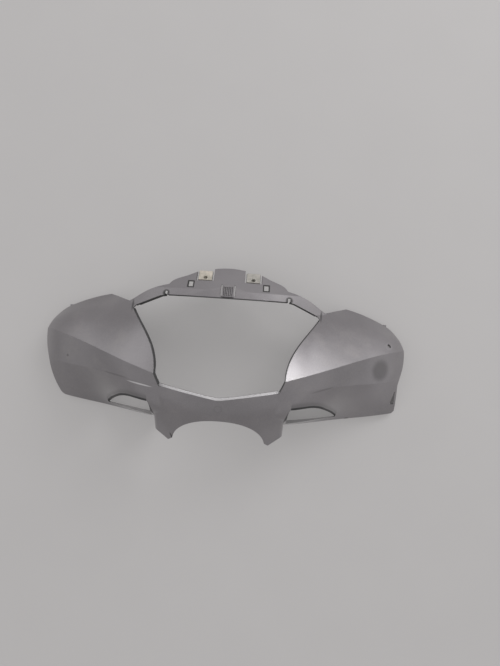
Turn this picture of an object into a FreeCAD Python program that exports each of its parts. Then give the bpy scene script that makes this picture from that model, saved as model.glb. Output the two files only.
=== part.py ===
import FreeCAD, Part
import math
import os
from FreeCAD import Placement, Rotation, Vector

# Front handlebar cover of a small motorbike: one moulded shell, open at the back, and two spring clip nuts.
# Millimetres. X runs to the right of the face, Y up the face, Z out of the face.
# The rear edges lie on Z = 0.

# Walls
WALL = 2.4
TONGUE_WALL = 2.2
FLANGE_WALL = 2.0
BLOCK_TOP = 200.0
BLOCK_DEEP = 260.0
OVERRUN = 2.0

# Wing lines, one value for each station from the headlight to the tip
STATION_X = (45.0, 75.0, 105.0, 137.0, 170.0, 195.0, 207.0, 216.0)
CREASE_Y = (-29.0, -20.3, -12.3, -2.2, 7.5, 12.0, 13.0, 13.0)
CREASE_Z = (117.5, 109.5, 91.5, 72.0, 53.5, 37.5, 23.0, 12.0)
TOP_Y = (40.0, 47.0, 50.5, 57.5, 48.5, 36.0, 26.0, 20.0)
TOP_Z = (66.0, 56.0, 42.0, 11.0, 10.0, 10.0, 9.0, 5.0)
FOLD_Y = (-36.0, -34.0, -30.5, -27.0, -25.0, -22.0, -20.0, -18.0)
FOLD_Z = (107.5, 105.5, 86.0, 62.0, 45.0, 31.5, 18.0, 8.0)
BROW_Y = (-68.0, -66.0, -58.0, -38.5, -36.0, -32.5, -29.5, -27.0)
BROW_Z = (86.5, 89.5, 70.0, 50.0, 39.0, 28.0, 17.0, 7.5)
BOTTOM_Y = (-83.0, -82.0, -78.0, -72.5, -68.0, -63.0, -58.0, -54.0)
BOTTOM_Z = (6.0, 6.0, 6.0, 7.0, 8.0, 8.0, 7.0, 4.0)
UPPER_BULGE = (4.0, 5.0, 5.0, 8.0, 8.0, 5.0, 3.0, 1.0)
LOWER_BULGE = (26.0, 24.0, 10.0, 1.5, 3.0, 2.5, 1.5, 0.5)
FACET_BULGE = 0.8
SHOULDER_AT = 0.72
UPPER_AT = 0.36
UPPER_SHARE = 0.6
MIDWAY = 0.5
EDGE_RUN = 9.0
EDGE_DROP = 8.0
CREASE_ROW = 4
FOLD_ROW = 6

# Wing outline seen from the front
WING_INNER_X = 52.0
WING_INNER_Y = -84.5
WING_CORNER = (183.0, -65.0)
WING_SIDE = (205.3, -10.0)
WING_PEAK = (137.5, 57.3)
WING_HEAD = (92.0, 44.7)
WING_BOTTOM = ((WING_INNER_X, WING_INNER_Y), (76.4, -82.0), (104.7, -78.0), (138.0, -72.4), (160.0, -69.0),
               WING_CORNER)
LEFT_CORNER = (WING_CORNER, (188.0, -63.2), (191.0, -59.0))
LEFT_SIDE = (LEFT_CORNER[-1], (199.5, -33.0), WING_SIDE)
RIGHT_CORNER = (WING_CORNER, (200.6, -61.8), (203.2, -58.5), (202.4, -49.0), (200.8, -27.0), WING_SIDE)
WING_TIP = (WING_SIDE, (206.3, 3.0), (203.5, 18.0), (197.5, 29.5), (186.0, 40.0))
WING_TOP = (WING_TIP[-1], (168.0, 48.3), (154.0, 53.3), WING_PEAK)
WING_ROOT = (WING_PEAK, WING_HEAD)
WING_HIDDEN = (WING_HEAD, (WING_INNER_X, 0.0), WING_BOTTOM[0])
ROOT_LIP = 7.0

# Neck below the headlight
NECK_HALF = 67.0
NECK_FLARE = 4.0
NECK_TOP_Y = -20.0
NECK_LOW_Y = -112.0
NECK_EDGE_ROUND = 5.0
NECK_X = (0.0, 30.0, 58.0, 80.0)
NECK_Y = (-10.0, -36.0, -54.0, -72.0, -92.0, -118.0)
NECK_SPINE_Z = (128.0, 122.0, 110.0, 92.5, 73.0, 51.0)
NECK_CROWN = (0.0, 3.5, 13.5, 27.0)
FOOT_REAR_Z = 34.0
FOOT_REAR_Y = -85.0
NECK_SIDE_Y = -54.0

# Headlight opening
SILL_MID = (0.0, -46.2)
SILL_ROUND = (9.0, -45.0)
SILL_END = (60.0, -36.0)
OPEN_KINK = (64.8, -23.8)
OPEN_SIDE = (OPEN_KINK, (73.6, 4.2), (88.8, 24.5), (103.0, 41.5))
LEDGE_LINE = ((100.0, 45.4), (74.0, 57.0), (66.0, 58.5))
OPEN_STRUT = (OPEN_SIDE[-1],) + LEDGE_LINE
SILL_DEPTH = 6.5
SILL_GRIP = 1.0
SILL_LEAD = 0.5
SILL_LEDGE = 2.8
SILL_STEPS = 4
SILL_PAST = 0.06
SIDE_DEPTH = 12.0

# Arch between the feet
FOOT_TIP = (54.5, -99.3)
FOOT_OUT = (NECK_HALF + NECK_FLARE, -86.0)
ARCH = ((50.0, -96.5), (47.0, -89.0), (35.0, -77.5), (20.0, -71.5), (0.0, -69.3))

# Half-moon windows low in the wings
MOON_TOP = ((131.8, -65.8), (116.5, -56.2), (99.3, -50.4), (85.4, -51.3), (74.5, -52.6))
MOON_SIDE = (MOON_TOP[-1], (72.3, -56.5), (71.2, -66.0), (70.5, -77.2))
MOON_LOW = (MOON_SIDE[-1], (132.0, -68.6))
MOON_REBATE = 1.7
MOON_STEP = 1.5
MOON_WALL_DEPTH = 9.0

# Bridge over the headlight: two struts and a tongue
LEDGE_Y = (36.0, 48.0, 58.0, 66.5)
LEDGE_Z = (72.0, 65.0, 57.5, 53.0)
TONGUE_SLOPE = 44.0
TONGUE_Y = (66.5, 76.0, 88.0, 100.0)
BRIDGE_X = (-118.0, -98.0, -70.0, -35.0, 0.0, 35.0, 70.0, 98.0, 118.0)
BRIDGE_FALL = 25.0
BRIDGE_FALL_AT = 112.0
STRUT_LOW = ((110.0, 41.0),) + LEDGE_LINE
STRUT_HIGH = ((66.5, 71.0), (78.0, 67.8), (91.4, 62.0), (107.0, 51.5), (115.5, 47.0))
STRUT_END = (STRUT_HIGH[-1], STRUT_LOW[0])
TONGUE_ARC = (STRUT_HIGH[0], (64.0, 74.4), (48.0, 82.5), (34.5, 89.0), (17.0, 92.8), (0.0, 94.5))
LIP_DEPTH = 17.0
NOTCHES = ((68.0, 60.5), (100.6, 43.7))
NOTCH_WIDE = 3.0
NOTCH_HIGH = 5.0

# Tongue details
SNAP_X = 42.0
SNAP_Y = 72.6
SNAP_WIDE = 5.0
SNAP_HIGH = 6.0
BLOCK_WIDE = 13.0
BLOCK_LOW = 59.5
BLOCK_HIGH = 72.0
BLOCK_RISE = 2.6
BLOCK_GROOVES = 6
GROOVE = 0.9
SLIT = 1.4

# Clip nuts, in the tongue's own slope
CLIP_X = 27.0
CLIP_Y = 83.0
CLIP_WIDE = 15.0
CLIP_LOW = -6.6
CLIP_SHEET = 0.9
CLIP_SEAT = 0.05
CLIP_HOLE_AT = -2.8
CLIP_HOLE_R = 2.5
CLIP_BARREL_R = 3.7
CLIP_BARREL = 2.8
TAB_SINK = 0.6
TAB_WALL = 1.5
TAB_END = 8.5
TAB_SIDE = 0.5
TAB_SLOT = 1.5
TAB_HOLE_R = 4.1
SEAT_REACH = 34.0

# Screw hole of the right wing, and the window in its lower corner
WING_HOLE = (184.4, 18.0)
WING_HOLE_R = 2.3
WING_HOLE_REACH = 10.0
CORNER_WINDOW = ((198.3, -34.0), (194.2, -50.0), (200.2, -50.0))

# Small locating lugs on the wings' top edges
LUG = (186.3, 40.8)
LUG_WIDE = 3.0
LUG_HIGH = 6.0

# Split in the left foot
SPLIT_LINE = ((-51.6, -90.5), (-48.3, -98.5))
SPLIT_WIDE = 0.8


def points(pairs, side=1):
    """The plan pairs as points, mirrored for the left side."""
    return [Vector(side * x, y, 0) for x, y in pairs]


def local_box(x0, x1, y0, y1, z0, z1):
    """A box from its limits."""
    return Part.makeBox(x1 - x0, y1 - y0, z1 - z0, Vector(x0, y0, z0))


def rectangle(x, y, wide, high):
    """A tall block over a plan rectangle, from its middle and sizes."""
    return local_box(x - wide / 2, x + wide / 2, y - high / 2, y + high / 2, 0.0, BLOCK_TOP)


def net_surface(rows):
    """A clamped spline surface over a net of poles."""
    def clamped(count):
        degree = min(3, count - 1)
        spans = count - degree
        return degree, [degree + 1] + [1] * (spans - 1) + [degree + 1], [float(k) for k in range(spans + 1)]

    du, mu, ku = clamped(len(rows))
    dv, mv, kv = clamped(len(rows[0]))
    surface = Part.BSplineSurface()
    surface.buildFromPolesMultsKnots(rows, mu, mv, ku, kv, False, False, du, dv)
    return surface


def sunk_net(rows, depth):
    """The net moved into the body by depth, square to itself."""
    if not depth:
        return rows
    last_u, last_v = len(rows) - 1, len(rows[0]) - 1
    sunk = []
    for i, row in enumerate(rows):
        line = []
        for j, pole in enumerate(row):
            along_u = rows[min(i + 1, last_u)][j] - rows[max(i - 1, 0)][j]
            along_v = row[min(j + 1, last_v)] - row[max(j - 1, 0)]
            normal = along_u.cross(along_v).normalize()
            if normal.z < 0:
                normal = normal.negative()
            line.append(pole - normal * depth)
        sunk.append(line)
    return sunk


def under(surface):
    """All the space behind a surface."""
    return surface.toShape().extrude(Vector(0, 0, -BLOCK_DEEP))


def chain(runs):
    """The points of joined runs in one list."""
    return [p for run in runs for p in run[:-1]] + [runs[-1][-1]]


def regroup(line, runs):
    """The points of a list shared out in the same steps as the runs."""
    out, at = [], 0
    for run in runs:
        steps = len(run) - 1
        out.append(line[at:at + steps + 1])
        at += steps
    return out


def inset_runs(runs, depth):
    """Closed runs of plan points moved inwards by depth, corners kept sharp."""
    if not depth:
        return runs
    ring = chain(runs)[:-1]
    moved = []
    for i, p in enumerate(ring):
        before = (p - ring[i - 1]).normalize()
        after = (ring[(i + 1) % len(ring)] - p).normalize()
        n1 = Vector(-before.y, before.x, 0)
        n2 = Vector(-after.y, after.x, 0)
        moved.append(p + (n1 + n2) * (depth / (1 + n1.dot(n2))))
    return regroup(moved + moved[:1], runs)


def prism(runs, low, high):
    """A block between two heights over a plan outline of straight two-point runs and longer curved ones."""
    edges = []
    for run in runs:
        if len(run) == 2:
            edges.append(Part.makeLine(run[0], run[1]))
        else:
            curve = Part.BSplineCurve()
            curve.interpolate(run)
            edges.append(curve.toShape())
    face = Part.Face(Part.Wire(edges))
    face.translate(Vector(0, 0, low))
    return face.extrude(Vector(0, 0, high - low))


def straight(pairs, side=1):
    """A broken line as a list of two-point runs."""
    line = points(pairs, side)
    return [[a, b] for a, b in zip(line, line[1:])]


def wing_net():
    """Pole rows of the right wing from the top edge over the crease and the fold to the bottom edge."""
    def blend(j, start, end, part, lift):
        a, b = start[j], end[j]
        return Vector(STATION_X[j], a.y + (b.y - a.y) * part, a.z + (b.z - a.z) * part + lift)

    def line(ys, zs):
        return [Vector(x, y, z) for x, y, z in zip(STATION_X, ys, zs)]

    count = range(len(STATION_X))
    crease, top = line(CREASE_Y, CREASE_Z), line(TOP_Y, TOP_Z)
    fold, bottom = line(FOLD_Y, FOLD_Z), line(BOTTOM_Y, BOTTOM_Z)
    brow = line(BROW_Y, BROW_Z)
    shoulder = [blend(j, crease, top, SHOULDER_AT, UPPER_BULGE[j]) for j in count]
    upper = [blend(j, crease, top, UPPER_AT, UPPER_BULGE[j] * UPPER_SHARE) for j in count]
    facet = [blend(j, crease, fold, MIDWAY, FACET_BULGE) for j in count]
    scoop = [blend(j, brow, bottom, MIDWAY, LOWER_BULGE[j]) for j in count]
    above = [p + Vector(0, EDGE_RUN, -EDGE_DROP) for p in top]
    below = [p + Vector(0, -EDGE_RUN, -EDGE_DROP) for p in bottom]
    return [above, top, shoulder, upper, crease, facet, fold, brow, scoop, bottom, below]


def wing(depth, corner):
    """A wing as a full block on the right, with its own lower corner and every face moved in by depth."""
    net = sunk_net(wing_net(), depth)
    strips = (net[:CREASE_ROW + 1], net[CREASE_ROW:FOLD_ROW + 1], net[FOLD_ROW:])
    blocks = [under(net_surface(strip)) for strip in strips]
    runs = [points(WING_BOTTOM)] + corner + [points(WING_TIP), points(WING_TOP)]
    runs += straight(WING_ROOT) + straight(WING_HIDDEN)
    foot = -OVERRUN if depth else 0.0
    plan = prism(inset_runs(runs, depth), foot, BLOCK_TOP)
    parts = [plan.common(block) for block in blocks]
    return parts[0].fuse(parts[1:]).removeSplitter()


def mirrored(shape):
    """The shape's left-hand twin."""
    return shape.mirror(Vector(0, 0, 0), Vector(1, 0, 0))


def neck_surface(depth):
    """The neck's front surface, moved in by depth."""
    crown = [(-x, c) for x, c in zip(NECK_X[:0:-1], NECK_CROWN[:0:-1])] + list(zip(NECK_X, NECK_CROWN))
    net = [[Vector(x, y, z - c) for x, c in crown] for y, z in zip(NECK_Y, NECK_SPINE_Z)]
    return net_surface(sunk_net(net, depth))


def neck(depth):
    """The neck as a full block with rounded sides, every face moved in by depth."""
    front = under(neck_surface(depth))
    half = NECK_HALF - depth
    foot = -OVERRUN if depth else 0.0
    high = NECK_SPINE_Z[0]
    flare = NECK_FLARE * (high - foot) / high
    low, top = NECK_LOW_Y, NECK_TOP_Y
    base = Part.makePolygon([Vector(-half - flare, low, foot), Vector(half + flare, low, foot),
                             Vector(half, low, high), Vector(-half, low, high), Vector(-half - flare, low, foot)])
    block = Part.Face(base).extrude(Vector(0, top - low, 0)).common(front).Solids[0]
    corners = [e for e in block.Edges if is_neck_corner(e)]
    return block.makeFillet(NECK_EDGE_ROUND - depth, corners) if NECK_EDGE_ROUND > depth else block


def is_neck_corner(edge):
    """True for the two long edges between the neck's face and its sides."""
    box = edge.BoundBox
    return box.YLength > (NECK_TOP_Y - NECK_LOW_Y) / 2 and box.ZLength > NECK_EDGE_ROUND


def opening():
    """The block that clears the headlight opening."""
    half = straight((SILL_ROUND, SILL_END, OPEN_KINK)) + [points(OPEN_SIDE)] + straight(OPEN_STRUT)
    left = [[Vector(-p.x, p.y, 0) for p in reversed(run)] for run in reversed(half)]
    dip = [points((SILL_ROUND,), -1)[0], points((SILL_MID,))[0], points((SILL_ROUND,))[0]]
    over = [[half[-1][-1], left[0][0]]]
    return prism(half + over + left + [dip], -OVERRUN, BLOCK_TOP)


def arch():
    """The block below the neck that shapes the feet and the arch."""
    inner = points(ARCH)
    left = [Vector(-p.x, p.y, 0) for p in reversed(inner[:-1])]
    outer = straight((FOOT_OUT, FOOT_TIP, ARCH[0]))
    far = straight(((-FOOT_OUT[0], FOOT_OUT[1]), (-FOOT_OUT[0], NECK_LOW_Y - OVERRUN),
                    (FOOT_OUT[0], NECK_LOW_Y - OVERRUN), FOOT_OUT))
    back = straight((ARCH[0], FOOT_TIP, FOOT_OUT), -1)
    return prism(outer + [inner + left] + back + far, -OVERRUN, BLOCK_TOP)


def moon(side):
    """The half-moon window of one wing."""
    return prism([points(MOON_TOP, side), points(MOON_SIDE, side)] + straight(MOON_LOW, side)
                 + straight((MOON_LOW[1], MOON_TOP[0]), side), -OVERRUN, BLOCK_TOP)


def band(pairs, width):
    """A plan strip from a broken line up to width above it."""
    low = points(pairs)
    high = [p + Vector(0, width, 0) for p in reversed(low)]
    ring = low + high
    return prism([[a, b] for a, b in zip(ring, ring[1:] + ring[:1])], -OVERRUN, BLOCK_TOP)


def both_sides(pairs):
    """A broken line from the right, and the same line mirrored to the left."""
    return list(pairs) + [(-x, y) for x, y in reversed(pairs) if x]


def skin(surfaces, rise, fall):
    """A plate that follows the surfaces, from rise above them to fall below them."""
    plates = []
    for surface in surfaces:
        face = surface.toShape()
        face.translate(Vector(0, 0, rise))
        plates.append(face.extrude(Vector(0, 0, -rise - fall)))
    return plates[0].fuse(plates[1:]) if plates[1:] else plates[0]


def height(surface, x, y):
    """Height of a surface over a plan point."""
    hits = surface.intersect(Part.Line(Vector(x, y, 0), Vector(x, y, BLOCK_TOP)))[0]
    return max(hit.Z for hit in hits)


def raised_edge(surface, pairs):
    """A smooth edge that lies on the surface above the plan pairs."""
    curve = Part.BSplineCurve()
    curve.interpolate([Vector(x, y, height(surface, x, y)) for x, y in pairs])
    return curve.toShape()


def sill_edge():
    """The smooth line on the neck where the sill's ledge begins."""
    part = [k / SILL_STEPS - SILL_PAST for k in range(SILL_STEPS)]
    slope = [tuple(a + (b - a) * t for a, b in zip(SILL_END, SILL_ROUND)) for t in part]
    line = both_sides(slope + [SILL_ROUND, SILL_MID])
    return raised_edge(neck_surface(0.0), [(x, y + SILL_LEAD) for x, y in line])


def slant(edge, reach, high):
    """All that lies above a plane of 45 degrees through an edge, facing up the face."""
    near, far = edge.copy(), edge.copy()
    near.translate(Vector(0, -reach, reach))
    far.translate(Vector(0, 2 * reach, -2 * reach))
    return Part.makeRuledSurface(near, far).extrude(Vector(0, 0, high))


def sill():
    """The wall that turns back from the headlight's lower edge, with a slanted ledge on top."""
    line = both_sides((SILL_END, SILL_ROUND, SILL_MID))
    bar = band([(x, y - SILL_GRIP) for x, y in line], SILL_GRIP + SILL_LEDGE)
    bar = bar.common(skin([neck_surface(0.0)], 0.0, SILL_DEPTH))
    return bar.cut(slant(sill_edge(), SILL_LEDGE, SILL_DEPTH))


def moon_wall():
    """The rebated wall behind the upper edge of the right half-moon window."""
    low, high = [points([(x, y + shift) for x, y in MOON_TOP]) for shift in (-MOON_REBATE, FLANGE_WALL)]
    plan = prism([low, [low[-1], high[-1]], high[::-1], [high[0], low[0]]], -OVERRUN, BLOCK_TOP)
    return plan.common(skin([net_surface(wing_net()[FOLD_ROW:])], -MOON_STEP, MOON_WALL_DEPTH))


def ribbon(runs, width):
    """A plan strip of that width along the right of joined runs."""
    near = chain(runs)
    last = len(near) - 1
    far = []
    for i, p in enumerate(near):
        along = near[min(i + 1, last)] - near[max(i - 1, 0)]
        far.append(p + Vector(along.y, -along.x, 0).normalize() * width)
    back = [run[::-1] for run in reversed(regroup(far, runs))]
    return prism(runs + [[near[-1], far[-1]]] + back + [[far[0], near[0]]], -OVERRUN, BLOCK_TOP)


def opening_flange():
    """The wall that turns back along the right side of the headlight opening."""
    net = wing_net()
    faces = [net_surface(net[:CREASE_ROW + 1]), net_surface(net[CREASE_ROW:FOLD_ROW + 1])]
    plan = ribbon(straight((SILL_END, OPEN_KINK)) + [points(OPEN_SIDE)], FLANGE_WALL)
    return plan.common(skin(faces, 0.0, SIDE_DEPTH))


def neck_zone(low_y, high_y, low_z, high_z):
    """A block as wide as the neck's foot, between the given limits."""
    reach = NECK_HALF + NECK_FLARE + OVERRUN
    return local_box(-reach, reach, low_y, high_y, low_z, high_z)


def neck_sides():
    """The neck's two side walls where they run back behind the wings."""
    return neck(0.0).cut(neck(WALL)).common(neck_zone(FOOT_REAR_Y, NECK_SIDE_Y, 0.0, BLOCK_TOP))


def root_gap():
    """The space behind the wing's upper inner edge, which has only a short lip."""
    line = (WING_ROOT[1], (WING_ROOT[0][0] - 2 * WALL, WING_ROOT[0][1] - WALL))
    strip = band([(x, y - 2 * WALL) for x, y in line], 4 * WALL)
    upper = wing_net()[:CREASE_ROW + 1]
    return strip.common(under(net_surface(sunk_net(upper, ROOT_LIP))))


def shell_body():
    """Wings and neck as one hollow moulding, with the openings cut."""
    right = straight(RIGHT_CORNER)
    left = [points(LEFT_CORNER), points(LEFT_SIDE)]
    outer = neck(0.0).fuse([wing(0.0, right), mirrored(wing(0.0, left))])
    core = neck(WALL).fuse([wing(WALL, right), mirrored(wing(WALL, left))])
    body = outer.cut(core).fuse(neck_sides())
    behind = neck_zone(NECK_LOW_Y - OVERRUN, FOOT_REAR_Y, -OVERRUN, FOOT_REAR_Z)
    gap = root_gap()
    return body.cut([opening(), arch(), moon(1), moon(-1), behind, gap, mirrored(gap)])


def bridge_surfaces():
    """Front surfaces of the ledge with its struts, and of the tongue."""
    def row(y, z):
        return [Vector(x, y, z - bridge_fall(x)) for x in BRIDGE_X]

    ledge = [row(y, z) for y, z in zip(LEDGE_Y, LEDGE_Z)]
    tongue = [row(y, tongue_height(y)) for y in TONGUE_Y]
    return [net_surface(ledge), net_surface(tongue)]


def bridge_fall(x):
    """How far the bridge falls back towards the wings."""
    return BRIDGE_FALL * abs(x / BRIDGE_FALL_AT) ** 3


def tongue_height(y):
    """Height of the tongue's slope on the middle line."""
    return LEDGE_Z[-1] - (y - LEDGE_Y[-1]) * math.tan(math.radians(TONGUE_SLOPE))


def bridge():
    """The struts and the tongue over the headlight, with a lip along the lower edge."""
    arc = points(both_sides(TONGUE_ARC))
    half = straight(STRUT_LOW[::-1]) + straight(STRUT_END[::-1]) + [points(STRUT_HIGH[::-1])]
    left = [[Vector(-p.x, p.y, 0) for p in reversed(run)] for run in reversed(half)]
    close = [[left[-1][-1], half[0][0]]]
    plan = prism(half + [arc] + left + close, -OVERRUN, BLOCK_TOP)
    surfaces = bridge_surfaces()
    plate = plan.common(skin(surfaces, 0.0, TONGUE_WALL / math.cos(math.radians(TONGUE_SLOPE))))
    lip = band(both_sides(STRUT_LOW[1:]), FLANGE_WALL).common(skin(surfaces, 0.0, LIP_DEPTH))
    return plate.fuse([lip, locator()])


def locator():
    """The grooved block in the middle of the ledge."""
    middle = (BLOCK_LOW + BLOCK_HIGH) / 2
    high = BLOCK_HIGH - BLOCK_LOW
    surfaces = bridge_surfaces()
    block = rectangle(0, middle, BLOCK_WIDE, high).common(skin(surfaces, BLOCK_RISE, TONGUE_WALL))
    pitch = BLOCK_WIDE / (BLOCK_GROOVES + 1)
    grooves = [rectangle((k - (BLOCK_GROOVES - 1) / 2) * pitch, middle, GROOVE, high - 2 * GROOVE)
               for k in range(BLOCK_GROOVES)]
    return block.cut([g.common(skin(surfaces, 2 * BLOCK_RISE, -BLOCK_RISE / 2)) for g in grooves])


def clip_place(side):
    """The frame of one clip: x across, y up the tongue, z out of it."""
    at = Vector(side * CLIP_X, CLIP_Y, tongue_height(CLIP_Y) - bridge_fall(CLIP_X))
    return Placement(at, Rotation(Vector(1, 0, 0), -TONGUE_SLOPE))


def clip_seat(side):
    """All that is taken from the tongue to leave a flat tab for one clip."""
    half = CLIP_WIDE / 2 + TAB_SIDE
    far = SEAT_REACH
    low = CLIP_LOW - TAB_SIDE
    wide = half + TAB_SLOT
    tools = [local_box(-half, half, low, far, -TAB_SINK, far),
             local_box(-half, half, low, far, -far, -TAB_SINK - TAB_WALL),
             local_box(-wide, wide, TAB_END, far, -far, far),
             local_box(-wide, -half, low, far, -far, far),
             local_box(half, wide, low, far, -far, far),
             Part.makeCylinder(TAB_HOLE_R, 2 * far, Vector(0, CLIP_HOLE_AT, -far))]
    seat = tools[0].fuse(tools[1:])
    seat.Placement = clip_place(side)
    return seat


def clip_nut(side):
    """A folded clip nut: two leaves around the tab's end, and a threaded barrel behind."""
    front = -TAB_SINK + CLIP_SEAT
    back = -TAB_SINK - TAB_WALL - CLIP_SEAT
    end = TAB_END + CLIP_SEAT
    half = CLIP_WIDE / 2
    solid = local_box(-half, half, CLIP_LOW, end + CLIP_SHEET, back - CLIP_SHEET, front + CLIP_SHEET)
    bends = [e for e in solid.Edges if e.BoundBox.XLength > half and e.BoundBox.YMin > TAB_END]
    solid = solid.makeFillet(CLIP_SHEET, bends)
    gap = local_box(-CLIP_WIDE, CLIP_WIDE, 2 * CLIP_LOW, end, back, front)
    barrel = Part.makeCylinder(CLIP_BARREL_R, CLIP_BARREL, Vector(0, CLIP_HOLE_AT, back - CLIP_BARREL))
    bore = Part.makeCylinder(CLIP_HOLE_R, 4 * CLIP_BARREL, Vector(0, CLIP_HOLE_AT, back - 2 * CLIP_BARREL))
    nut = solid.cut(gap).fuse(barrel).cut(bore)
    nut.Placement = clip_place(side)
    return nut


def wing_hole():
    """The screw hole of the right wing, square to its upper face."""
    surface = net_surface(wing_net()[:CREASE_ROW + 1])
    line = Part.Line(Vector(WING_HOLE[0], WING_HOLE[1], 0), Vector(WING_HOLE[0], WING_HOLE[1], BLOCK_TOP))
    at = surface.intersect(line)[0][0]
    point = Vector(at.X, at.Y, at.Z)
    normal = surface.normal(*surface.parameter(point))
    return Part.makeCylinder(WING_HOLE_R, 2 * WING_HOLE_REACH, point - normal * WING_HOLE_REACH, normal)


def lug(side):
    """The small locating lug on one wing's top edge."""
    x, y, half = side * LUG[0], LUG[1], LUG_WIDE / 2
    return local_box(x - half, x + half, y - half, y + half, 0.0, LUG_HIGH)


def corner_window():
    """The three-cornered window low in the right wing's corner."""
    return prism(straight(CORNER_WINDOW + CORNER_WINDOW[:1]), -OVERRUN, BLOCK_TOP)


def split():
    """The crack in the left foot."""
    a, b = points(SPLIT_LINE)
    across = Vector(b.y - a.y, a.x - b.x, 0).normalize() * (SPLIT_WIDE / 2)
    ring = [a, b - across, b + across]
    return prism([[p, q] for p, q in zip(ring, ring[1:] + ring[:1])], -OVERRUN, BLOCK_TOP)


def tongue_holes():
    """Snap holes, the slits beside the block and the notches at the struts' ends."""
    middle = (BLOCK_LOW + BLOCK_HIGH) / 2
    holes = []
    for side in (1, -1):
        holes.append(rectangle(side * SNAP_X, SNAP_Y, SNAP_WIDE, SNAP_HIGH))
        holes.append(rectangle(side * (BLOCK_WIDE + SLIT) / 2, middle + SLIT, SLIT, BLOCK_HIGH - BLOCK_LOW))
        holes += [rectangle(side * x, y, NOTCH_WIDE, NOTCH_HIGH) for x, y in NOTCHES]
    return holes


def build_shell():
    """The whole moulding."""
    top = bridge().cut(tongue_holes() + [clip_seat(1), clip_seat(-1)])
    flange = opening_flange()
    window = moon_wall()
    added = [top, sill(), flange, mirrored(flange), window, mirrored(window), lug(1), lug(-1)]
    shell = shell_body().fuse(added)
    return shell.cut([wing_hole(), corner_window(), split()]).removeSplitter()


def main():
    """Writes each piece to its own file, with the middle of the plan at the origin."""
    os.makedirs("parts", exist_ok=True)
    pieces = {"cover_shell": build_shell(), "left_clip_nut": clip_nut(-1), "right_clip_nut": clip_nut(1)}
    middle = (FOOT_TIP[1] + TONGUE_ARC[-1][1]) / 2
    for name, shape in pieces.items():
        solid = shape.Solids[0].copy()
        solid.translate(Vector(0, -middle, 0))
        solid.exportStep("parts/" + name + ".step")


main()
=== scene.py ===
"""Looks of a painted handlebar cover panel that lies face up on a pale surface.

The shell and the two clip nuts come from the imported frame. This script gives every piece its finish, winds
the clip nuts' threads, and sets up a plain stage, soft light and the camera. All lengths are metres in the
frame's own axes.
"""

import enum
import logging
import math
from dataclasses import dataclass, field, replace
from typing import Any, Iterable, Sequence, Union

import bpy
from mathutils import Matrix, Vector


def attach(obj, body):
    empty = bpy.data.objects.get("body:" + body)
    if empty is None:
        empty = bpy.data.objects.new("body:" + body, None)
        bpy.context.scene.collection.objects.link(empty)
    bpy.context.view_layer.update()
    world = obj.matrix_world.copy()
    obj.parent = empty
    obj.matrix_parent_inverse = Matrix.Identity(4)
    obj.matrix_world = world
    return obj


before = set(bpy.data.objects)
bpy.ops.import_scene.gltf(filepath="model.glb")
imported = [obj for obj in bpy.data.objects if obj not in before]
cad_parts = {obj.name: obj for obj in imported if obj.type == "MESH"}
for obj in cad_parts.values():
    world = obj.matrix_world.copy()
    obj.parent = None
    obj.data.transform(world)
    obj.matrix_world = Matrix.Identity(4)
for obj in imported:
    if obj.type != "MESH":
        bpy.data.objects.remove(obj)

LOG = logging.getLogger("cover_panel")
MM = 0.001
FRAME_PIXELS = (500, 666)
FLATTEN = 1.0e6
ROOT_BODY = "root"

# Numbers of the colour sockets of a Mix node, whose names are shared with its other kinds of socket
MIX_LOWER = 6
MIX_UPPER = 7
MIX_RESULT = 2

BEVEL_SAMPLES = 4
NOOK_SAMPLES = 6

Colour = tuple[float, float, float, float]
Triple = tuple[float, float, float]
Value = Union["Sock", float, Sequence[float]]


class Reach(enum.Enum):
    """Which light of a lamp the surfaces take."""

    ALL = "all"
    SHINE = "shine"


class Sock:
    """An output socket of a shader graph that can be used in sums."""

    def __init__(self, graph: "Graph", socket: bpy.types.NodeSocket) -> None:
        """Keeps the socket with its graph.

        Args:
            graph: The graph that owns the socket.
            socket: The output socket.
        """
        self.graph = graph
        self.socket = socket

    def __add__(self, other: Value) -> "Sock":
        """Returns self + other."""
        return self.graph.math("ADD", self, other)

    def __radd__(self, other: Value) -> "Sock":
        """Returns other + self."""
        return self.graph.math("ADD", other, self)

    def __sub__(self, other: Value) -> "Sock":
        """Returns self - other."""
        return self.graph.math("SUBTRACT", self, other)

    def __rsub__(self, other: Value) -> "Sock":
        """Returns other - self."""
        return self.graph.math("SUBTRACT", other, self)

    def __mul__(self, other: Value) -> "Sock":
        """Returns self * other."""
        return self.graph.math("MULTIPLY", self, other)

    def __rmul__(self, other: Value) -> "Sock":
        """Returns other * self."""
        return self.graph.math("MULTIPLY", other, self)

    def __truediv__(self, other: Value) -> "Sock":
        """Returns self / other."""
        return self.graph.math("DIVIDE", self, other)

    def __rtruediv__(self, other: Value) -> "Sock":
        """Returns other / self."""
        return self.graph.math("DIVIDE", other, self)


@dataclass(frozen=True)
class Ramp:
    """Where a mask starts to change and where it is done."""

    low: float
    high: float


@dataclass(frozen=True)
class Cloud:
    """Grain of a cloud noise: clouds to a metre, octaves and the strength of the finer ones."""

    scale: float
    detail: float
    rough: float = 0.5
    stretch: Triple | None = None
    turn: Triple = (0.0, 0.0, 0.0)


@dataclass(frozen=True)
class Patch:
    """Cloud noise that shows only above a level."""

    cloud: Cloud
    ramp: Ramp


@dataclass(frozen=True)
class Spot:
    """A round or long mark on the paint, or a ring where an inner radius is given."""

    centre: tuple[float, float]
    radius: float
    soft: float
    depth: float
    squash: float = 1.0
    ring: float = 0.0
    turn: float = 0.0
    square: bool = False

    def pair(self) -> "tuple[Spot, Spot]":
        """Returns the mark and its mirror image on the object's other half."""
        return self, replace(self, centre=(-self.centre[0], self.centre[1]), turn=-self.turn)


@dataclass(frozen=True)
class Rim:
    """A band along an edge, given by a few of the edge's points from the inside outwards."""

    points: tuple[tuple[float, float], ...]
    inset: float
    half: float
    soft: float


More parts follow.
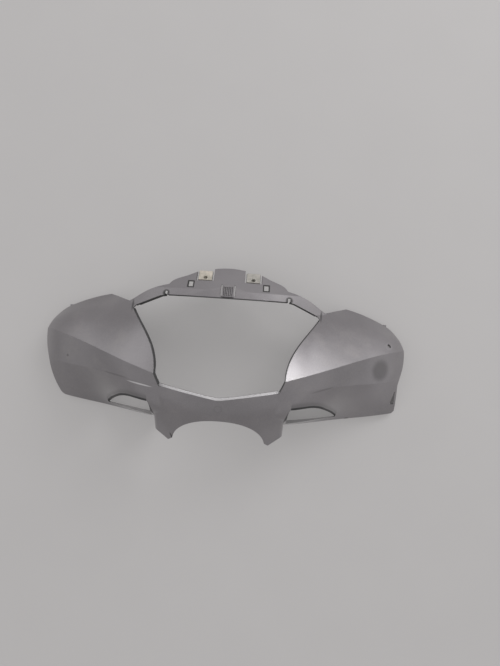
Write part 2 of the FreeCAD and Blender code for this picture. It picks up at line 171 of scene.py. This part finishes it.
class NodeTree:
    """A tree of nodes."""

    def __init__(self, tree: bpy.types.NodeTree) -> None:
        """Keeps the tree.

        Args:
            tree: Blender's own tree.
        """
        self.tree = tree

    def node(self, kind: str, inputs: dict[Any, Any] | None = None, **settings: Any) -> bpy.types.Node:
        """Adds a node.

        Args:
            kind: The node's type name.
            inputs: Input name or number to a value or a socket.
            settings: Properties of the node, which are set first.

        Returns:
            The new node.
        """
        made = self.tree.nodes.new(kind)
        for key, value in settings.items():
            setattr(made, key, value)
        for key, value in (inputs or {}).items():
            source = value.socket if isinstance(value, Sock) else value
            if isinstance(source, bpy.types.NodeSocket):
                self.tree.links.new(source, made.inputs[key])
            else:
                made.inputs[key].default_value = source
        return made


class Graph(NodeTree):
    """A material's node graph."""

    def __init__(self, name: str) -> None:
        """Starts an empty material.

        Args:
            name: The material's name.
        """
        self.material = bpy.data.materials.new(name)
        self.material.use_nodes = True
        super().__init__(self.material.node_tree)
        self.tree.nodes.clear()

    def out(self, made: bpy.types.Node, key: Any = 0) -> Sock:
        """Returns one output of a node.

        Args:
            made: The node.
            key: Output name or number.

        Returns:
            The output socket.
        """
        return Sock(self, made.outputs[key])

    def math(self, operation: str, a: Value, b: Value = 0.0) -> Sock:
        """Adds a sum.

        Args:
            operation: The sum's name.
            a: First value.
            b: Second value.

        Returns:
            The result.
        """
        return self.out(self.node("ShaderNodeMath", {0: a, 1: b}, operation=operation))

    def largest(self, first: Sock, *others: Sock) -> Sock:
        """Finds the largest of some values.

        Args:
            first: One value.
            others: The other values.

        Returns:
            The largest value.
        """
        result = first
        for other in others:
            result = self.math("MAXIMUM", result, other)
        return result

    def ease(self, value: Value, ramp: Ramp, start: float, end: float) -> Sock:
        """Eases from start to end along a ramp.

        Args:
            value: What is measured.
            ramp: Where the change starts and ends.
            start: Result below the ramp.
            end: Result above the ramp.

        Returns:
            The eased value.
        """
        inputs = {"Value": value, "From Min": ramp.low, "From Max": ramp.high, "To Min": start, "To Max": end}
        return self.out(self.node("ShaderNodeMapRange", inputs, interpolation_type="SMOOTHSTEP"))

    def rise(self, value: Value, ramp: Ramp) -> Sock:
        """Returns 0 below a ramp and 1 above it."""
        return self.ease(value, ramp, 0.0, 1.0)

    def fall(self, value: Value, ramp: Ramp) -> Sock:
        """Returns 1 below a ramp and 0 above it."""
        return self.ease(value, ramp, 1.0, 0.0)

    def place(self) -> Sock:
        """Returns the point in the object's own axes."""
        return self.out(self.node("ShaderNodeTexCoord"), "Object")

    def axes(self, vector: Sock) -> tuple[Sock, Sock, Sock]:
        """Splits a vector.

        Args:
            vector: The vector.

        Returns:
            Its three parts.
        """
        made = self.node("ShaderNodeSeparateXYZ", {0: vector})
        return self.out(made, "X"), self.out(made, "Y"), self.out(made, "Z")

    def noise(self, point: Sock, cloud: Cloud) -> Sock:
        """Adds cloud noise.

        Args:
            point: Where it is read.
            cloud: The noise's grain.

        Returns:
            The noise, about 0 to 1.
        """
        if cloud.stretch is not None:
            placing = {"Vector": point, "Scale": cloud.stretch, "Rotation": cloud.turn}
            point = self.out(self.node("ShaderNodeMapping", placing))
        grain = {"Vector": point, "Scale": cloud.scale, "Detail": cloud.detail, "Roughness": cloud.rough}
        return self.out(self.node("ShaderNodeTexNoise", grain), "Fac")

    def patch(self, point: Sock, patch: Patch) -> Sock:
        """Returns cloud noise that shows only above a level."""
        return self.rise(self.noise(point, patch.cloud), patch.ramp)

    def cells(self, point: Sock, scale: float) -> Sock:
        """Adds random cells, one value to each.

        Args:
            point: Where it is read.
            scale: Cells to a metre.

        Returns:
            The cell's value, 0 to 1.
        """
        made = self.node("ShaderNodeTexVoronoi", {"Vector": point, "Scale": scale})
        return self.out(self.node("ShaderNodeSeparateColor", {0: self.out(made, "Color")}), 0)

    def mix(self, amount: Value, lower: Value, upper: Value) -> Sock:
        """Lays one colour over another.

        Args:
            amount: How much of the upper colour shows.
            lower: Lower colour.
            upper: Upper colour.

        Returns:
            The colour.
        """
        inputs = {0: amount, MIX_LOWER: lower, MIX_UPPER: upper}
        return self.out(self.node("ShaderNodeMix", inputs, data_type="RGBA"), MIX_RESULT)

    def rounded(self, radius: float) -> Sock:
        """Returns the normal of a surface whose edges are rounded."""
        return self.out(self.node("ShaderNodeBevel", {"Radius": radius}, samples=BEVEL_SAMPLES))

    def bump(self, height: Sock, distance: float, strength: float, under: Sock) -> Sock:
        """Turns a height into a normal.

        Args:
            height: The height, about 0 to 1.
            distance: What height 1 is in metres.
            strength: How much of it shows.
            under: A normal that it lies on.

        Returns:
            The normal.
        """
        inputs = {"Height": height, "Distance": distance, "Strength": strength, "Normal": under}
        return self.out(self.node("ShaderNodeBump", inputs))

    def near(self, point: Sock, spot: Spot) -> Sock:
        """Marks a spot seen from the front.

        Args:
            point: Where it is read.
            spot: The spot.

        Returns:
            The spot's depth within it and 0 outside.
        """
        placing = {"Vector": point, "Location": (*spot.centre, 0.0), "Rotation": (0.0, 0.0, spot.turn),
                   "Scale": (1.0, spot.squash, FLATTEN)}
        flat = self.out(self.node("ShaderNodeMapping", placing, vector_type="TEXTURE"))
        if spot.square:
            wide, high, _ = self.axes(flat)
            gap = self.largest(self.math("ABSOLUTE", wide), self.math("ABSOLUTE", high))
        else:
            gap = self.out(self.node("ShaderNodeVectorMath", {0: flat}, operation="LENGTH"), "Value")
        mark = self.fall(gap, Ramp(spot.radius - spot.soft, spot.radius + spot.soft)) * spot.depth
        if not spot.ring:
            return mark
        return mark * self.rise(gap, Ramp(spot.ring - spot.soft, spot.ring + spot.soft))

    def line(self, across: Sock, along: Sock, rim: Rim) -> Sock:
        """Marks a band that follows a rim seen from the front, on both halves of the object.

        Args:
            across: Distance from the middle plane.
            along: Place along the other axis.
            rim: The rim's points and the band's width.

        Returns:
            1 on the band and 0 outside.
        """
        left, right = rim.points[0][0], rim.points[-1][0]
        low = min(y for _, y in rim.points)
        span = max(y for _, y in rim.points) - low
        knots = [((x - left) / (right - left), (y - low) / span) for x, y in rim.points]
        made = self.node("ShaderNodeFloatCurve", {"Value": (across - left) / (right - left)})
        curve = made.mapping.curves[0]
        for knot in knots[1:-1]:
            curve.points.new(*knot)
        curve.points[0].location, curve.points[-1].location = knots[0], knots[-1]
        made.mapping.update()
        offset = self.math("ABSOLUTE", along - (self.out(made) * span + (low - rim.inset)))
        band = self.fall(offset, Ramp(rim.half - rim.soft, rim.half + rim.soft))
        return band * self.rise(across, Ramp(left - MM, left)) * self.fall(across, Ramp(right, right + MM))

    def finish(self, shader: bpy.types.Node) -> bpy.types.Material:
        """Joins the shader to the output.

        Args:
            shader: The surface shader.

        Returns:
            The finished material.
        """
        self.node("ShaderNodeOutputMaterial", {"Surface": self.out(shader)})
        return self.material


class Reading:
    """What the paint reads at each point of the shell."""

    def __init__(self, g: Graph) -> None:
        """Adds the nodes that read it.

        Args:
            g: The material's graph.
        """
        self.point = g.place()
        across, self.along, _ = g.axes(self.point)
        self.apart = g.math("ABSOLUTE", across)
        geometry = g.node("ShaderNodeNewGeometry")
        _, self.back, self.up = g.axes(g.out(geometry, "True Normal"))
        self.normal = g.out(geometry, "Normal")


@dataclass(frozen=True)
class MetallicPaint:
    """Grey metallic paint under clear lacquer, dark unpainted plastic on the inside, with painted shade and
    painted highlights.
    """

    dark: Colour = (0.150, 0.141, 0.148, 1.0)
    light: Colour = (0.254, 0.240, 0.251, 1.0)
    # dark plastic of worn edges and unpainted walls, also the colour of painted shade on flanges and window
    # edges
    dark_plastic_and_shade: Colour = (0.024, 0.024, 0.025, 1.0)
    # dark colour of spots and seams, also of painted shade and painted reflections
    dark_mark_and_shade: Colour = (0.026, 0.025, 0.025, 1.0)
    dust: Colour = (0.33, 0.31, 0.29, 1.0)
    # pale colour of rubbed spots, also of painted highlights
    polish_and_highlight: Colour = (0.60, 0.59, 0.60, 1.0)
    metallic: float = 0.55
    coat: float = 0.8
    coat_roughness: float = 0.18
    coat_ior: float = 1.5
    edge_round: float = 1.0 * MM

    # Tone of the paint
    clouds: Cloud = Cloud(9.0, 4.0, 0.55)
    flake_scale: float = 2600.0
    flake_share: float = 0.18
    tone: Ramp = Ramp(0.15, 0.85)

    # Roughness of the clean paint and what each kind of wear adds
    roughness: float = 0.25
    rough_clouds: float = 0.08
    rough_dust: float = 0.5
    rough_scratch: float = 0.15
    rough_worn: float = 0.22
    rough_bridge: float = 0.2

    # Walls that the paint did not reach, their dark plastic partly standing in for shade on the return
    # flanges: upright, not facing back, near the middle, not the outer skirt
    wall: Ramp = Ramp(0.012, 0.024)
    facing_back: Ramp = Ramp(0.80, 0.90)
    facing_front: Ramp = Ramp(-0.60, -0.50)
    skirt: Ramp = Ramp(-45.0 * MM, -44.0 * MM)
    bare_reach: Ramp = Ramp(150.0 * MM, 151.0 * MM)

    # Duller bridge over the opening, and painted shade darkening its back-facing tongue
    bridge_front: Ramp = Ramp(75.0 * MM, 77.0 * MM)
    bridge_rake: float = 0.33
    bridge_reach: Ramp = Ramp(102.0 * MM, 104.0 * MM)
    bridge_dull: float = 0.6
    tongue_facing: Ramp = Ramp(0.55, 0.65)
    tongue_shade_depth: float = 0.45

    # Painted highlight on the slanted ledge of the sill
    ledge_facing: Ramp = Ramp(0.45, 0.55)
    sill_reach: Ramp = Ramp(61.0 * MM, 62.0 * MM)
    sill_back: Ramp = Ramp(-30.0 * MM, -29.0 * MM)
    ledge_highlight_depth: float = 0.6

    # Wear and dirt, and painted shade in creases
    crease: float = 3.0 * MM
    crease_open: Ramp = Ramp(0.45, 0.80)
    crease_shade_depth: float = 0.3
    edge_turn: Ramp = Ramp(0.80, 0.97)
    edge_patch: Patch = Patch(Cloud(120.0, 5.0, 0.65), Ramp(0.52, 0.66))
    edge_depth: float = 0.7
    hair: Patch = Patch(
        Cloud(1.0, 2.0, stretch=(1400.0, 26.0, 60.0), turn=(0.2, 0.1, 0.6)), Ramp(0.69, 0.76))
    cross: Patch = Patch(
        Cloud(1.0, 2.0, stretch=(30.0, 1300.0, 60.0), turn=(0.1, 0.3, 0.35)), Ramp(0.71, 0.78))
    scratched: Patch = Patch(Cloud(16.0, 2.0), Ramp(0.48, 0.64))
    scratch_depth: float = 0.35
    scratch_height: float = 0.03 * MM
    scratch_bump: float = 0.5
    dust_patch: Patch = Patch(Cloud(34.0, 6.0, 0.7), Ramp(0.46, 0.80))
    dust_depth: float = 0.22

    # Slight unevenness of the lacquer
    peel: Cloud = Cloud(420.0, 2.0)
    peel_share: float = 0.6
    peel_flake: float = 0.05
    peel_height: float = 0.05 * MM
    peel_bump: float = 0.35

    # Marks that the photo shows, dark ones first
    dark_marks_and_shade: tuple[Spot, ...] = (
        Spot((-0.1729, -0.0131), 1.3 * MM, 0.8 * MM, 0.55),
        Spot((0.1474, -0.0684), 2.6 * MM, 0.5 * MM, 0.9, squash=0.35),
        # a soft dark smudge on the right wing
        Spot((0.1737, -0.0073), 9.8 * MM, 3.5 * MM, 0.46, squash=1.15),
        # dark streaks of painted reflection along the folds of both wings
        Spot((-0.1095, -0.0273), 14.0 * MM, 5.0 * MM, 0.32, squash=0.07, turn=math.radians(-6.5)),
        Spot((0.1065, -0.0293), 12.0 * MM, 5.0 * MM, 0.32, squash=0.08, turn=math.radians(14.5)),
        Spot((0.0003, -0.0529), 4.2 * MM, 0.8 * MM, 0.16, ring=3.0 * MM),
        Spot((-0.0500, -0.0921), 5.0 * MM, 1.0 * MM, 0.9, squash=0.16, turn=math.radians(-67.6)),
        # painted shade round the snap holes in the tongue
        *Spot((0.0420, 0.0750), 3.9 * MM, 0.4 * MM, 1.0, squash=1.1, square=True).pair(),
        *Spot((0.0362, 0.0850), 0.8 * MM, 0.3 * MM, 0.8, squash=6.0).pair(),
        *Spot((0.1045, 0.0475), 1.1 * MM, 0.5 * MM, 0.8, squash=5.5, turn=math.radians(-8.0)).pair(),
        *Spot((0.0680, 0.0629), 3.8 * MM, 1.2 * MM, 0.85).pair(),
        # painted shade along the inner sides of the half-moon windows
        *Spot((0.0713, -0.0590), 1.2 * MM, 0.4 * MM, 0.9, squash=7.5, turn=math.radians(-20.0)).pair(),
    )
    # a pale ring round a hole on the right wing, and a painted highlight along the end of the left fold
    rubs_and_highlights: tuple[Spot, ...] = (
        Spot((0.1840, 0.0198), 4.4 * MM, 0.7 * MM, 0.07, ring=2.3 * MM),
        Spot((-0.0812, -0.0335), 13.0 * MM, 4.0 * MM, 0.8, squash=0.06, turn=math.radians(-7.8)),
    )

    # Painted shade along the edge of the half-moon windows, and the soft painted shade on the brow above it
    window_edge_shade: Rim = Rim(
        ((74.5 * MM, -50.2 * MM), (85.4 * MM, -48.9 * MM), (99.3 * MM, -48.0 * MM), (116.5 * MM, -53.8 * MM),
         (131.8 * MM, -63.4 * MM)), 0.5 * MM, 1.5 * MM, 0.4 * MM)
    brow_inset: float = -2.5 * MM
    brow_half: float = 2.6 * MM
    brow_soft: float = 2.4 * MM
    brow_shade_depth: float = 0.35

    def build(self) -> bpy.types.Material:
        """Makes the material.

        Returns:
            The material.
        """
        g = Graph("metallic_grey_paint")
        at = Reading(g)
        clouds = g.noise(at.point, self.clouds)
        flake = g.cells(at.point, self.flake_scale)
        rounded = g.rounded(self.edge_round)
        inside = self._unpainted_and_shade(g, at)
        bridge = self._bridge(g, at)
        crease_shade = self._crease_shade(g)
        rubbed = self._rubbed(g, at, rounded)
        scratch = g.largest(g.patch(at.point, self.hair), g.patch(at.point, self.cross))
        scratch = scratch * g.patch(at.point, self.scratched)
        dust = g.patch(at.point, self.dust_patch) * self.dust_depth
        dark_marks_and_shade = self._dark_marks_and_shade(g, at)
        layers = (
            (dust, self.dust),
            # painted shade on the back-facing tongue
            (bridge * g.rise(at.back, self.tongue_facing) * self.tongue_shade_depth, self.dark),
            (scratch * self.scratch_depth, self.light),
            (rubbed * self.edge_depth, self.dark_plastic_and_shade),
            # painted shade darkening the tight creases
            (crease_shade * self.crease_shade_depth, self.dark_mark_and_shade),
            # pale rubbed ring and painted highlight
            (g.largest(*(g.near(at.point, spot) for spot in self.rubs_and_highlights)), self.polish_and_highlight),
            # painted highlight on the sill's ledge
            (self._ledge_highlight(g, at) * self.ledge_highlight_depth, self.polish_and_highlight),
            # dark spots and seams, painted shade and painted reflections
            (dark_marks_and_shade, self.dark_mark_and_shade),
            # unpainted walls, partly standing in for shade, and painted shade along the window edges
            (inside, self.dark_plastic_and_shade),
        )
        tone = g.rise(clouds * (1.0 - self.flake_share) + flake * self.flake_share, self.tone)
        colour = g.mix(tone, self.dark, self.light)
        for amount, upper in layers:
            colour = g.mix(amount, colour, upper)

        # worn edges, dark marks, unpainted walls and the painted shade lose their gloss
        worn = g.largest(rubbed, dark_marks_and_shade, inside, crease_shade)
        rough = self.roughness + clouds * self.rough_clouds + dust * self.rough_dust
        rough = rough + scratch * self.rough_scratch + worn * self.rough_worn + bridge * self.rough_bridge
        gloss = (1.0 - worn) * (1.0 - bridge * self.bridge_dull)
        peel = g.noise(at.point, self.peel) * self.peel_share + flake * self.peel_flake
        normal = g.bump(peel, self.peel_height, self.peel_bump, rounded)
        normal = g.bump(0.0 - scratch, self.scratch_height, self.scratch_bump, normal)
        shader = g.node(
            "ShaderNodeBsdfPrincipled",
            {
                "Base Color": colour,
                "Metallic": gloss * self.metallic,
                "Roughness": rough,
                "Coat Weight": gloss * self.coat,
                "Coat Roughness": self.coat_roughness,
                "Coat IOR": self.coat_ior,
                "Normal": normal,
            },
        )
        return g.finish(shader)

    def _unpainted_and_shade(self, g: Graph, at: Reading) -> Sock:
        """Marks the walls that the paint did not reach, partly standing in for shade on the return flanges,
        and the painted shade along the edge of the half-moon windows.

        Args:
            g: The material's graph.
            at: What it reads.

        Returns:
            1 on unpainted plastic and painted shade, 0 on paint.
        """
        outer = g.fall(at.back, self.facing_front) * g.fall(at.along, self.skirt)
        walls = g.fall(at.up, self.wall) * g.fall(at.back, self.facing_back) * (1.0 - outer)
        walls = walls * g.fall(at.apart, self.bare_reach)
        return g.largest(walls, g.line(at.apart, at.along, self.window_edge_shade))

    def _bridge(self, g: Graph, at: Reading) -> Sock:
        """Marks the struts and the tongue over the opening.

        Args:
            g: The material's graph.
            at: What it reads.

        Returns:
            1 on the bridge and 0 elsewhere.
        """
        front = g.rise(at.along + at.apart * self.bridge_rake, self.bridge_front)
        return front * g.fall(at.apart, self.bridge_reach)

    def _ledge_highlight(self, g: Graph, at: Reading) -> Sock:
        """Marks the painted highlight on the slanted ledge of the sill.

        Args:
            g: The material's graph.
            at: What it reads.

        Returns:
            1 on the ledge and 0 elsewhere.
        """
        slant = g.rise(at.back, self.ledge_facing) * g.rise(at.up, self.ledge_facing)
        return slant * g.fall(at.apart, self.sill_reach) * g.fall(at.along, self.sill_back)

    def _crease_shade(self, g: Graph) -> Sock:
        """Marks painted shade that darkens tight creases.

        Args:
            g: The material's graph.

        Returns:
            1 in a tight crease and 0 in the open.
        """
        settings = {"samples": NOOK_SAMPLES, "only_local": True}
        nook = g.node("ShaderNodeAmbientOcclusion", {"Distance": self.crease}, **settings)
        return g.fall(g.out(nook, "AO"), self.crease_open)

    def _rubbed(self, g: Graph, at: Reading, rounded: Sock) -> Sock:
        """Marks the worn stretches of sharp edges.

        Args:
            g: The material's graph.
            at: What it reads.
            rounded: The normal with rounded edges.

        Returns:
            1 where an edge is worn and 0 elsewhere.
        """
        turn = g.node("ShaderNodeVectorMath", {0: rounded, 1: at.normal}, operation="DOT_PRODUCT")
        return g.fall(g.out(turn, "Value"), self.edge_turn) * g.patch(at.point, self.edge_patch)

    def _dark_marks_and_shade(self, g: Graph, at: Reading) -> Sock:
        """Marks the dark spots and seams, the painted shade round the snap holes, along the inner sides of
        the half-moon windows and on the brow above them, and the dark streaks of painted reflection along the
        folds.

        Args:
            g: The material's graph.
            at: What it reads.

        Returns:
            How dark the mark is, 0 to 1.
        """
        brow = replace(self.window_edge_shade, inset=self.brow_inset, half=self.brow_half, soft=self.brow_soft)
        shade = g.line(at.apart, at.along, brow) * self.brow_shade_depth
        return g.largest(shade, *(g.near(at.point, spot) for spot in self.dark_marks_and_shade))


@dataclass(frozen=True)
class ClipSteel:
    """Thin spring steel with a dull passivated skin."""

    name: str = "clip_steel"
    bright: Colour = (0.62, 0.57, 0.50, 1.0)
    dull: Colour = (0.42, 0.40, 0.34, 1.0)
    rust: Colour = (0.16, 0.09, 0.05, 1.0)
    clouds: Cloud = Cloud(160.0, 5.0, 0.6)
    tone: Ramp = Ramp(0.3, 0.7)
    grain: Cloud = Cloud(1.0, 2.0, stretch=(300.0, 6000.0, 300.0))
    grain_depth: float = 0.25
    rust_patch: Patch = Patch(Cloud(700.0, 4.0, 0.7), Ramp(0.62, 0.74))
    rust_depth: float = 0.5
    metallic: float = 0.75
    metallic_rust: float = 0.6
    roughness: float = 0.42
    rough_clouds: float = 0.15
    rough_rust: float = 0.2
    edge_round: float = 0.12 * MM
    skin_clouds: float = 0.5
    skin_height: float = 0.03 * MM
    skin_bump: float = 0.4

    def build(self) -> bpy.types.Material:
        """Makes the material.

        Returns:
            The material.
        """
        g = Graph(self.name)
        point = g.place()
        clouds = g.noise(point, self.clouds)
        grain = g.noise(point, self.grain)
        rust = g.patch(point, self.rust_patch)
        colour = g.mix(g.rise(clouds, self.tone), self.dull, self.bright)
        colour = g.mix(grain * self.grain_depth, colour, self.bright)
        colour = g.mix(rust * self.rust_depth, colour, self.rust)
        skin = grain + clouds * self.skin_clouds
        shader = g.node(
            "ShaderNodeBsdfPrincipled",
            {
                "Base Color": colour,
                "Metallic": self.metallic * (1.0 - rust * self.metallic_rust),
                "Roughness": self.roughness + clouds * self.rough_clouds + rust * self.rough_rust,
                "Normal": g.bump(skin, self.skin_height, self.skin_bump, g.rounded(self.edge_round)),
            },
        )
        return g.finish(shader)


@dataclass(frozen=True)
class PaleFloor:
    """The plain pale surface of the stage."""

    colour: Colour = (0.496, 0.484, 0.482, 1.0)
    mottle: Cloud = Cloud(14.0, 3.0)
    mottle_depth: float = 0.03
    roughness: float = 0.9
    glow: float = 0.40

    def build(self) -> bpy.types.Material:
        """Makes the material.

        Returns:
            The material.
        """
        g = Graph("pale_floor")
        darker, paler = self._shade(1.0 - self.mottle_depth), self._shade(1.0 + self.mottle_depth)
        colour = g.mix(g.noise(g.place(), self.mottle), darker, paler)
        lit = g.node("ShaderNodeBsdfPrincipled", {"Base Color": colour, "Roughness": self.roughness})
        even = g.node("ShaderNodeEmission", {"Color": self.colour})
        path = g.node("ShaderNodeLightPath")
        seen = g.largest(*(g.out(path, f"Is {kind} Ray") for kind in ("Camera", "Glossy", "Transmission")))
        return g.finish(g.node("ShaderNodeMixShader", {0: seen * self.glow, 1: g.out(lit), 2: g.out(even)}))

    def _shade(self, factor: float) -> Colour:
        """Returns the floor's colour made darker or paler by a factor."""
        red, green, blue, alpha = self.colour
        return red * factor, green * factor, blue * factor, alpha


def new_object(name: str, mesh: bpy.types.Mesh) -> bpy.types.Object:
    """Links a mesh into the scene.

    Args:
        name: The object's name.
        mesh: Its mesh.

    Returns:
        The object.
    """
    made = bpy.data.objects.new(name, mesh)
    bpy.context.scene.collection.objects.link(made)
    return made


def paint(made: bpy.types.Object, material: bpy.types.Material) -> None:
    """Gives an object one material.

    Args:
        made: The object.
        material: Its only material.
    """
    made.data.materials.clear()
    made.data.materials.append(material)


@dataclass
class CoverShell:
    """The moulded cover."""

    node: str = "cover_shell"
    finish: MetallicPaint = field(default_factory=MetallicPaint)

    def build(self) -> list[bpy.types.Object]:
        """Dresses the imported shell.

        Returns:
            The shell.
        """
        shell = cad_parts[self.node]
        paint(shell, self.finish.build())
        return [shell]


class MeshMaker(NodeTree):
    """A Geometry Nodes tree that makes one mesh."""

    def __init__(self, name: str) -> None:
        """Starts the tree with one geometry output.

        Args:
            name: The tree's name.
        """
        super().__init__(bpy.data.node_groups.new(name, "GeometryNodeTree"))
        self.tree.interface.new_socket("Geometry", in_out="OUTPUT", socket_type="NodeSocketGeometry")
        self.given = self.tree.nodes.new("NodeGroupInput")
        self.result = self.tree.nodes.new("NodeGroupOutput")
        self.keys: dict[str, str] = {}

    def number(self, name: str) -> bpy.types.NodeSocket:
        """Adds a number that the tree is given.

        Args:
            name: The input's name.

        Returns:
            The socket that carries it.
        """
        item = self.tree.interface.new_socket(name, in_out="INPUT", socket_type="NodeSocketFloat")
        self.keys[name] = item.identifier
        return self.given.outputs[name]

    def bake(self, name: str, geometry: bpy.types.NodeSocket, material: bpy.types.Material,
             values: dict[str, float]) -> bpy.types.Object:
        """Runs the tree once and keeps its mesh.

        Args:
            name: Name of the new object.
            geometry: What the tree makes.
            material: The mesh's material.
            values: Value of each number by name.

        Returns:
            A plain mesh object.
        """
        real = self.node("GeometryNodeRealizeInstances", {0: geometry})
        dressed = self.node("GeometryNodeSetMaterial", {0: real.outputs[0], "Material": material})
        self.tree.links.new(dressed.outputs[0], self.result.inputs[0])
        maker = new_object(name + "_maker", bpy.data.meshes.new(name + "_maker"))
        modifier = maker.modifiers.new("maker", "NODES")
        modifier.node_group = self.tree
        for key, value in values.items():
            modifier[self.keys[key]] = value
        ready = maker.evaluated_get(bpy.context.evaluated_depsgraph_get())
        mesh = bpy.data.meshes.new_from_object(ready)
        bpy.data.objects.remove(maker)
        return new_object(name, mesh)


@dataclass
class ClipNut:
    """A folded clip nut on the tongue's back edge."""

    node: str
    side: int
    slot: str = "clip_steel"
    across: float = 27.0 * MM
    mouth: tuple[float, float] = (83.629 * MM, 38.915 * MM)
    slope: float = math.radians(44.0)
    radius: float = 2.5 * MM
    pitch: float = 0.8 * MM
    length: float = 5.2 * MM
    ridge: float = 0.34 * MM
    steps: int = 40
    ridge_sides: int = 4
    finish: ClipSteel = field(default_factory=ClipSteel)

    def build(self) -> list[bpy.types.Object]:
        """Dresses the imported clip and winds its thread.

        Returns:
            The clip and its thread.
        """
        material = self.finish.build()
        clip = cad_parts[self.node]
        paint(clip, material)
        thread = self._thread(material)
        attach(thread, ROOT_BODY)
        return [clip, thread]

    def _thread(self, material: bpy.types.Material) -> bpy.types.Object:
        """Winds the thread's ridge along the clip's bore.

        Args:
            material: The clip's steel.

        Returns:
            The thread.
        """
        wound = self.length - 2.0 * self.ridge
        values = {"turns": wound / self.pitch, "radius": self.radius, "length": wound, "ridge": self.ridge}
        maker = MeshMaker(self.node + "_winding")
        turns, radius, length, ridge = (maker.number(name) for name in values)
        spiral = maker.node(
            "GeometryNodeCurveSpiral",
            {"Resolution": self.steps, "Rotations": turns, "Start Radius": radius, "End Radius": radius,
             "Height": length})
        profile = maker.node(
            "GeometryNodeCurvePrimitiveCircle", {"Resolution": self.ridge_sides, "Radius": ridge})
        swept = maker.node(
            "GeometryNodeCurveToMesh",
            {"Curve": spiral.outputs[0], "Profile Curve": profile.outputs[0], "Fill Caps": True})
        normal = Vector((0.0, math.sin(self.slope), math.cos(self.slope)))
        start = Vector((self.side * self.across, *self.mouth)) - normal * self.length
        placed = maker.node(
            "GeometryNodeTransform",
            {"Geometry": swept.outputs[0], "Translation": start, "Rotation": (-self.slope, 0.0, 0.0)})
        return maker.bake(self.node + "_thread", placed.outputs[0], material, values)


@dataclass(frozen=True)
class Softbox:
    """A soft lamp that faces the object, placed by its bearing and height angle in degrees."""

    name: str
    bearing: float
    rise: float
    distance: float
    size: tuple[float, float]
    radiance: float
    reach: Reach = Reach.ALL

    def build(self) -> None:
        """Hangs the lamp."""
        data = bpy.data.lights.new(self.name, "AREA")
        data.shape = "RECTANGLE"
        data.size, data.size_y = self.size
        data.energy = self.radiance * math.pi * self.size[0] * self.size[1]
        lamp = bpy.data.objects.new(self.name, data)
        turn, rise = math.radians(self.bearing), math.radians(self.rise)
        place = Vector((math.cos(turn) * math.cos(rise), math.sin(turn) * math.cos(rise), math.sin(rise)))
        lamp.location = place * self.distance
        lamp.rotation_euler = (-place).to_track_quat("-Z", "Y").to_euler()
        lamp.visible_diffuse = self.reach is not Reach.SHINE
        bpy.context.scene.collection.objects.link(lamp)


@dataclass
class Studio:
    """The floor, the light and the camera."""

    floor_half: float = 2.5
    sky: float = 0.68
    sky_colour: Colour = (1.0, 0.99, 0.99, 1.0)
    lens_pixels: float = 500.0
    sensor: float = 36.0
    camera_height: float = 0.600
    camera_xy: tuple[float, float] = (0.02708, 0.02464)
    camera_roll: float = 3.8
    floor: PaleFloor = field(default_factory=PaleFloor)
    lamps: tuple[Softbox, ...] = (
        Softbox("right_window", 57.0, 31.5, 1.8, (0.90, 0.57), 6.3),
        Softbox("right_window_low", 40.0, 17.0, 1.8, (0.80, 0.45), 2.2),
        Softbox("left_window", 138.0, 17.0, 1.8, (1.20, 0.70), 0.80),
        Softbox("back_strip", 90.0, 7.5, 1.6, (1.10, 0.10), 2.5, Reach.SHINE),
    )

    def build(self) -> None:
        """Sets the stage."""
        self._floor()
        self._light()
        self._camera()
        bpy.context.scene.view_settings.view_transform = "Standard"

    def _floor(self) -> None:
        """Lays the floor."""
        half = self.floor_half
        mesh = bpy.data.meshes.new("floor")
        corners = [(-half, -half, 0.0), (half, -half, 0.0), (half, half, 0.0), (-half, half, 0.0)]
        mesh.from_pydata(corners, [], [(0, 1, 2, 3)])
        floor = new_object("floor", mesh)
        paint(floor, self.floor.build())

    def _light(self) -> None:
        """Fills the room with soft light and sets the lamps."""
        world = bpy.data.worlds.new("soft_room")
        world.use_nodes = True
        back = world.node_tree.nodes["Background"]
        back.inputs["Color"].default_value = self.sky_colour
        back.inputs["Strength"].default_value = self.sky
        bpy.context.scene.world = world
        for lamp in self.lamps:
            lamp.build()

    def _camera(self) -> None:
        """Places the camera straight above, as the photo was taken."""
        data = bpy.data.cameras.new("camera")
        data.sensor_width = self.sensor
        data.lens = self.lens_pixels / max(FRAME_PIXELS) * self.sensor
        camera = bpy.data.objects.new("camera", data)
        camera.location = (*self.camera_xy, self.camera_height)
        camera.rotation_euler = (0.0, 0.0, math.radians(self.camera_roll))
        bpy.context.scene.collection.objects.link(camera)
        bpy.context.scene.camera = camera


def main() -> None:
    """Builds the whole scene and reports each piece."""
    logging.basicConfig(level=logging.INFO)
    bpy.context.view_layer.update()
    dull_steel = ClipSteel("dull_clip_steel", bright=(0.46, 0.44, 0.41, 1.0), dull=(0.34, 0.33, 0.30, 1.0))
    parts = (CoverShell(), ClipNut("left_clip_nut", -1), ClipNut("right_clip_nut", 1, finish=dull_steel))
    for part in parts:
        for piece in part.build():
            LOG.info("%s: %d faces", piece.name, len(piece.data.polygons))
    Studio().build()
    LOG.info("scene ready")


if __name__ == "__main__":
    main()
